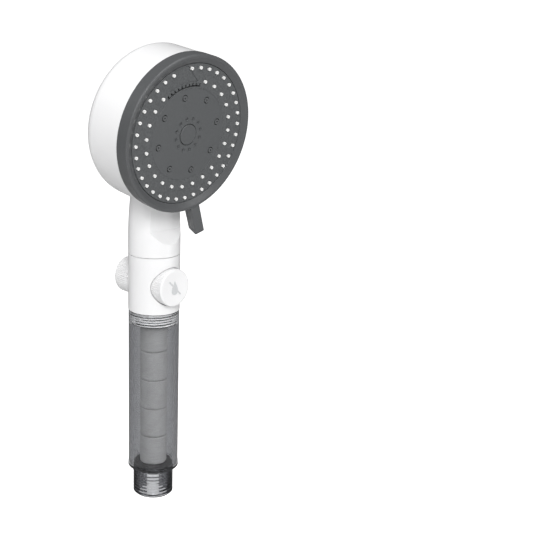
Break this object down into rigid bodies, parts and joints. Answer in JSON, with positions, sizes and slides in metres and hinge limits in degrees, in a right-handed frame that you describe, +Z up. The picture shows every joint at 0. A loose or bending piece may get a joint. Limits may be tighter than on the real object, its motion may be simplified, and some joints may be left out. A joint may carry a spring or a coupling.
{
  "type": "handheld shower head",
  "caption": "Handheld shower head with a turning multi-spray face and lever, a push-through shut-off valve, and a clear screw-on handle that holds a filter cartridge.",
  "frame": {"origin": "centre of the lower end face of the inlet thread, on the handle axis", "axes": "+Z runs up the handle axis, the spray face looks towards -Y and tilts down by 9 degrees, +X completes the right-handed frame"},
  "size_m": [0.0764, 0.0518, 0.2342],
  "materials": {
    "white_shell": "smooth glossy white",
    "white_inner": "moulded white",
    "button_white": "satin white, knurled side",
    "dark_ring": "satin dark grey",
    "dark_face": "fine grained dark grey",
    "white_silicone": "soft white silicone",
    "dark_silicone": "soft dark silicone",
    "smoky_clear": "clear smoky plastic, polished",
    "seal_black": "black seal rubber",
    "filter_media": "pressed filter fibre",
    "core_plastic": "moulded grey",
    "steel": "stainless steel"
  },
  "bodies": {
    "root": {"head_shell": "white_shell", "neck_pipe": "white_inner", "neck_seal": "seal_black", "valve_body": "white_shell", "filter_spigot": "white_inner", "tube_seal": "seal_black", "diverter": "white_inner", "base_seal": "seal_black", "port_seal": "seal_black", "port_spring": "steel", "detent_ball": "steel", "detent_spring": "steel", "centre_screw": "steel", "centre_washer": "steel"},
    "selector": {"selector_ring": "dark_ring", "spray_face": "dark_face", "nozzle_mat": "white_silicone", "jet_insert": "dark_face", "massage_nozzles": "dark_silicone", "centre_cap": "dark_face", "distributor": "white_inner"},
    "stop_valve": {"front_button": "button_white", "rear_button": "button_white", "valve_spool": "white_inner", "spool_seal_front": "seal_black", "spool_seal_rear": "seal_black"},
    "cartridge": {"filter_segment_1": "filter_media", "filter_segment_2": "filter_media", "filter_segment_3": "filter_media", "filter_segment_4": "filter_media", "filter_segment_5": "filter_media", "filter_core": "core_plastic", "filter_seat": "core_plastic", "filter_cap": "core_plastic"},
    "housing": {"filter_tube": "smoky_clear"}
  },
  "joints": [
    {"name": "mode_select", "type": "hinge", "parent": "root", "child": "selector", "pos_m": [0, -0.0247, 0.1925], "axis": [0, -0.9872, -0.1592], "range_deg": [-60, 30]},
    {"name": "stop_valve_slide", "type": "slide", "parent": "root", "child": "stop_valve", "axis": [0, -1, 0], "range_m": [0, 0.00434]},
    {"name": "filter_lift", "type": "slide", "parent": "root", "child": "cartridge", "axis": [0, 0, -1], "range_m": [0, 0.0065]},
    {"name": "filter_unscrew", "type": "hinge", "parent": "cartridge", "child": "housing", "pos_m": [0, 0, 0.05], "axis": [0, 0, -1], "range_deg": [0, 1900]}
  ],
  "couplings": [
    {"joint": "filter_unscrew", "follows": "filter_lift", "rad_per_m": 5026.5}
  ]
}
